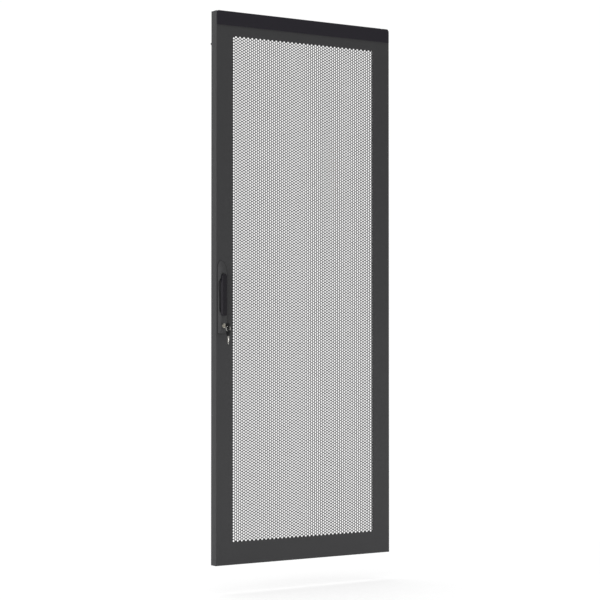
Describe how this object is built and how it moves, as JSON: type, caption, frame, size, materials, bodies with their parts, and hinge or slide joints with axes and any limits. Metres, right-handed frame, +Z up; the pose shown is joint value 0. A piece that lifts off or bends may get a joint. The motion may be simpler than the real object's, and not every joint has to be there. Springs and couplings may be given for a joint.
{
  "type": "perforated rack door",
  "caption": "Tall perforated steel door leaf for an equipment rack, with a swing handle, locking bars, keyed lock and sprung top hinge pin.",
  "frame": {"origin": "on the hinge axis, level with the lower edge of the folded leaf", "axes": "+X from the lock side to the hinge side, +Y to the rear, +Z up along the hinge axis"},
  "size_m": [0.765, 0.0925, 1.9765],
  "materials": {
    "powder_coat": "matt anthracite powder coat",
    "trim_plastic": "black, satin gloss",
    "handle_paint": "matt anthracite, to match the leaf",
    "lever_plastic": "black glass-filled nylon",
    "zinc_plate": "bright zinc plate",
    "cast_zinc": "as cast",
    "nickel_plate": "satin nickel",
    "bright_steel": "drawn and zinc plated",
    "spring_wire": "oiled spring wire",
    "black_nylon": "natural moulded",
    "key_plastic": "black moulded",
    "black_rubber": "matt"
  },
  "bodies": {
    "leaf": {"door_skin": "powder_coat", "left_stiffener": "powder_coat", "right_stiffener": "powder_coat", "top_stiffener": "powder_coat", "bottom_stiffener": "powder_coat", "top_trim": "trim_plastic", "trim_clips": "zinc_plate", "escutcheon": "handle_paint", "handle_gasket": "black_rubber", "case_plate": "zinc_plate", "latch_case": "zinc_plate", "case_rivets": "zinc_plate", "handle_screws": "zinc_plate", "rod_guides": "black_nylon", "lock_barrel": "nickel_plate", "lock_nut": "zinc_plate", "lower_hinge_bracket": "zinc_plate", "lower_hinge_bush": "black_nylon", "upper_hinge_bracket": "zinc_plate", "pin_spring": "spring_wire", "stop_buffer": "black_rubber", "earth_stud": "zinc_plate", "earth_washer": "zinc_plate", "earth_nut": "zinc_plate"},
    "spindle_set": {"spindle": "cast_zinc", "pinion": "zinc_plate", "spindle_washer": "zinc_plate", "spindle_screw": "zinc_plate", "lever_pin": "bright_steel"},
    "swing_lever": {"lever": "lever_plastic"},
    "upper_bar": {"upper_rod": "zinc_plate"},
    "lower_bar": {"lower_rod": "zinc_plate"},
    "lock_rotor": {"lock_plug": "nickel_plate", "lock_tongue": "zinc_plate", "tongue_screw": "zinc_plate"},
    "key": {"key_blade": "nickel_plate", "key_bow": "key_plastic"},
    "ring": {"key_ring": "nickel_plate"},
    "spare_key": {"spare_blade": "nickel_plate", "spare_bow": "key_plastic"},
    "sprung_pin": {"hinge_pin": "bright_steel", "pin_knob": "black_nylon"}
  },
  "joints": [
    {"name": "spindle_turn", "type": "hinge", "parent": "leaf", "child": "spindle_set", "pos_m": [-0.7215, -0.022, 1.024], "axis": [0, -1, 0], "range_deg": [0, 90]},
    {"name": "lever_lift", "type": "hinge", "parent": "spindle_set", "child": "swing_lever", "pos_m": [-0.7215, -0.034, 1.024], "axis": [-1, 0, 0], "range_deg": [0, 30]},
    {"name": "upper_bar_slide", "type": "slide", "parent": "leaf", "child": "upper_bar", "axis": [0, 0, -1], "range_m": [0, 0.019]},
    {"name": "lower_bar_slide", "type": "slide", "parent": "leaf", "child": "lower_bar", "axis": [0, 0, 1], "range_m": [0, 0.019]},
    {"name": "plug_turn", "type": "hinge", "parent": "leaf", "child": "lock_rotor", "pos_m": [-0.7195, -0.022, 0.849], "axis": [0, 1, 0], "range_deg": [0, 90]},
    {"name": "key_draw", "type": "slide", "parent": "lock_rotor", "child": "key", "axis": [0, -1, 0], "range_m": [0, 0.024]},
    {"name": "ring_swing", "type": "hinge", "parent": "key", "child": "ring", "pos_m": [-0.7195, -0.0585, 0.84742], "axis": [-1, 0, 0], "range_deg": [-10, 40]},
    {"name": "spare_swing", "type": "hinge", "parent": "ring", "child": "spare_key", "pos_m": [-0.7195, -0.0585, 0.83002], "axis": [-1, 0, 0], "range_deg": [-8, 40]},
    {"name": "hinge_pin_draw", "type": "slide", "parent": "leaf", "child": "sprung_pin", "axis": [0, 0, -1], "range_m": [0, 0.009], "stiffness_N_per_m": 800, "springref_m": -0.005, "deforming": ["pin_spring"]}
  ],
  "couplings": [
    {"joint": "upper_bar_slide", "follows": "spindle_turn", "m_per_rad": 0.012},
    {"joint": "lower_bar_slide", "follows": "spindle_turn", "m_per_rad": 0.012}
  ]
}
